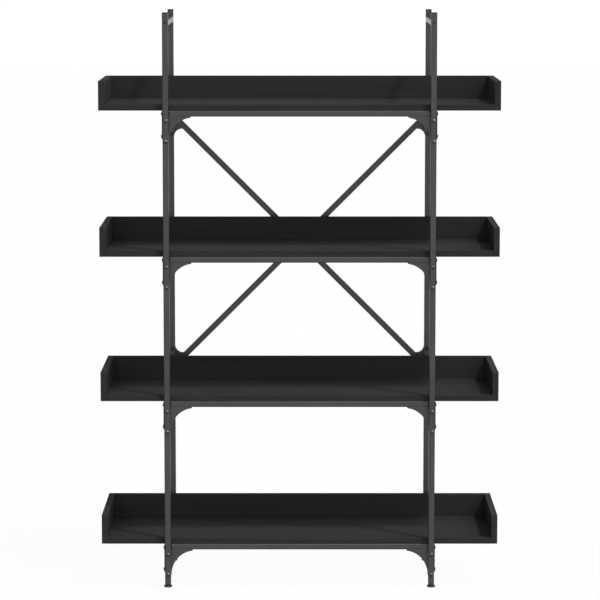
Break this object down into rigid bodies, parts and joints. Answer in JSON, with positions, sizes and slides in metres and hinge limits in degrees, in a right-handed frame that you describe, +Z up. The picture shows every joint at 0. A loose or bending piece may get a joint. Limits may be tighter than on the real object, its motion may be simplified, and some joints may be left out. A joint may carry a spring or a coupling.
{
  "type": "bookcase",
  "caption": "Open bookcase: wide shallow trays with back and end boards on a bolted square-tube steel frame with curved gussets, crossed back braces and screw-in levelling feet.",
  "frame": {"origin": "on the floor, midway between the left and right posts and between the front and back posts", "axes": "+Z up; +X to the right seen from the front; +Y to the back, so the trays' open fronts face -Y"},
  "size_m": [1, 0.341, 1.447],
  "materials": {
    "frame_steel": "dark grey powder coat with a fine texture and a low sheen that brightens at grazing angles",
    "black_board": "black melamine-faced engineered wood, satin, with matching edge band",
    "black_plastic": "moulded black plastic, semi-matte",
    "bolt_steel": "black-coated steel with a satin sheen"
  },
  "bodies": {
    "frame": {"post_front_left": "frame_steel", "post_cap_front_left": "black_plastic", "foot_insert_front_left": "black_plastic", "post_front_right": "frame_steel", "post_cap_front_right": "black_plastic", "foot_insert_front_right": "black_plastic", "post_back_left": "frame_steel", "post_cap_back_left": "black_plastic", "foot_insert_back_left": "black_plastic", "post_back_right": "frame_steel", "post_cap_back_right": "black_plastic", "foot_insert_back_right": "black_plastic", "top_rail_left": "frame_steel", "side_rail_left_1": "frame_steel", "side_rail_left_2": "frame_steel", "side_rail_left_3": "frame_steel", "side_rail_left_4": "frame_steel", "top_rail_right": "frame_steel", "side_rail_right_1": "frame_steel", "side_rail_right_2": "frame_steel", "side_rail_right_3": "frame_steel", "side_rail_right_4": "frame_steel", "shelf_beam_front_1": "frame_steel", "shelf_beam_back_1": "frame_steel", "tray_base_1": "black_board", "tray_back_1": "black_board", "tray_end_left_1": "black_board", "tray_end_right_1": "black_board", "shelf_beam_front_2": "frame_steel", "shelf_beam_back_2": "frame_steel", "tray_base_2": "black_board", "tray_back_2": "black_board", "tray_end_left_2": "black_board", "tray_end_right_2": "black_board", "shelf_beam_front_3": "frame_steel", "shelf_beam_back_3": "frame_steel", "tray_base_3": "black_board", "tray_back_3": "black_board", "tray_end_left_3": "black_board", "tray_end_right_3": "black_board", "shelf_beam_front_4": "frame_steel", "shelf_beam_back_4": "frame_steel", "tray_base_4": "black_board", "tray_back_4": "black_board", "tray_end_left_4": "black_board", "tray_end_right_4": "black_board", "brace_from_top_left": "frame_steel", "brace_from_top_right": "frame_steel", "brace_crossing_bolt": "bolt_steel", "brace_bolt_left_1": "bolt_steel", "brace_bolt_left_2": "bolt_steel", "brace_bolt_right_1": "bolt_steel", "brace_bolt_right_2": "bolt_steel"},
    "foot_front_left": {"foot_front_left": "black_plastic"},
    "foot_front_right": {"foot_front_right": "black_plastic"},
    "foot_back_left": {"foot_back_left": "black_plastic"},
    "foot_back_right": {"foot_back_right": "black_plastic"}
  },
  "joints": [
    {"name": "foot_front_left_level", "type": "slide", "parent": "frame", "child": "foot_front_left", "axis": [0, 0, -1], "range_m": [0, 0.01]},
    {"name": "foot_front_right_level", "type": "slide", "parent": "frame", "child": "foot_front_right", "axis": [0, 0, -1], "range_m": [0, 0.01]},
    {"name": "foot_back_left_level", "type": "slide", "parent": "frame", "child": "foot_back_left", "axis": [0, 0, -1], "range_m": [0, 0.01]},
    {"name": "foot_back_right_level", "type": "slide", "parent": "frame", "child": "foot_back_right", "axis": [0, 0, -1], "range_m": [0, 0.01]}
  ]
}
